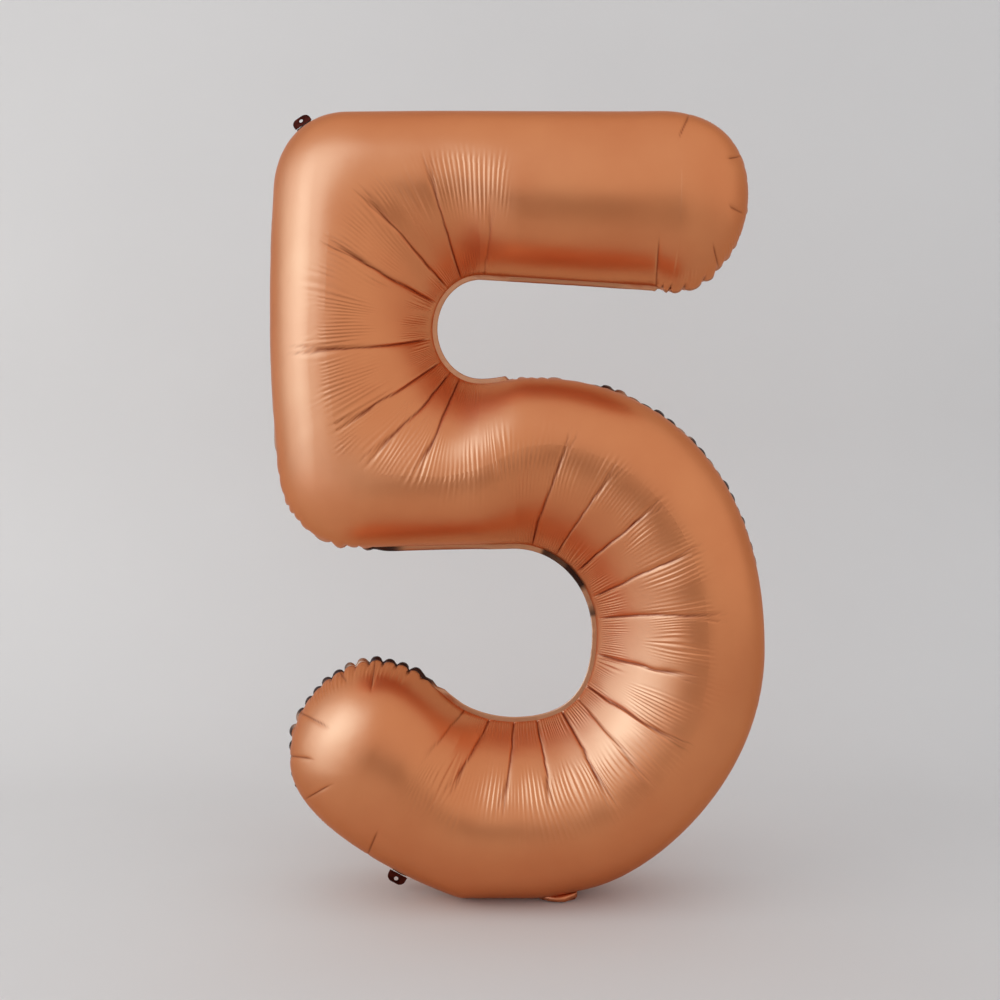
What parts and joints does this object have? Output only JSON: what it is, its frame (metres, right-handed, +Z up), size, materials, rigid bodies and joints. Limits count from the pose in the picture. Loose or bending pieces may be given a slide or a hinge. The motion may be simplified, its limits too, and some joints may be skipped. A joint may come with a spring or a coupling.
{
  "type": "foil number balloon",
  "caption": "Inflated foil balloon in the shape of the numeral five, standing on its foot, with a heat sealed border, hanging tabs and a folded inflation neck",
  "frame": {"origin": "on the table, under the middle of the balloon's box", "axes": "+Z up from the foot to the top bar, +X to the right of someone who reads the numeral, the front panel faces -Y"},
  "size_m": [0.5505, 0.1774, 0.8595],
  "materials": {
    "satin_foil": "satin copper print on metallised film",
    "sealed_margin": "satin copper, two plies fused flat",
    "neck_foil": "satin copper, creased",
    "valve_film": "clear polyethylene film",
    "tab_foil": "satin copper, two plies fused flat"
  },
  "bodies": {
    "envelope": {"front_foil_panel": "satin_foil", "back_foil_panel": "satin_foil", "heat_sealed_border": "sealed_margin", "inflation_neck_collar": "neck_foil", "valve_film_back": "valve_film"},
    "inflation_neck": {"inflation_neck_front_ply": "neck_foil", "inflation_neck_back_ply": "neck_foil"},
    "valve_front": {"valve_film_front": "valve_film"},
    "tab_top_left": {"hanging_tab_top_left": "tab_foil"},
    "tab_bottom_left": {"hanging_tab_bottom_left": "tab_foil"}
  },
  "joints": [
    {"name": "neck_fold", "type": "hinge", "parent": "envelope", "child": "inflation_neck", "pos_m": [0.044, -0.026, 0.00085], "axis": [1, 0, 0], "range_deg": [-110, 0]},
    {"name": "valve_parting", "type": "hinge", "parent": "envelope", "child": "valve_front", "pos_m": [0.044, -0.0004, 0.012], "axis": [1, 0, 0], "range_deg": [0, 4], "stiffness_Nm_per_rad": 0.003},
    {"name": "tab_top_left_bend", "type": "hinge", "parent": "envelope", "child": "tab_top_left", "pos_m": [-0.23485, 0, 0.84536], "axis": [0.8293, 0, 0.5589], "range_deg": [-60, 100], "stiffness_Nm_per_rad": 0.0005},
    {"name": "tab_bottom_left_bend", "type": "hinge", "parent": "envelope", "child": "tab_bottom_left", "pos_m": [-0.13013, 0, 0.02078], "axis": [-0.8841, 0, 0.4673], "range_deg": [-80, 80], "stiffness_Nm_per_rad": 0.0005}
  ]
}
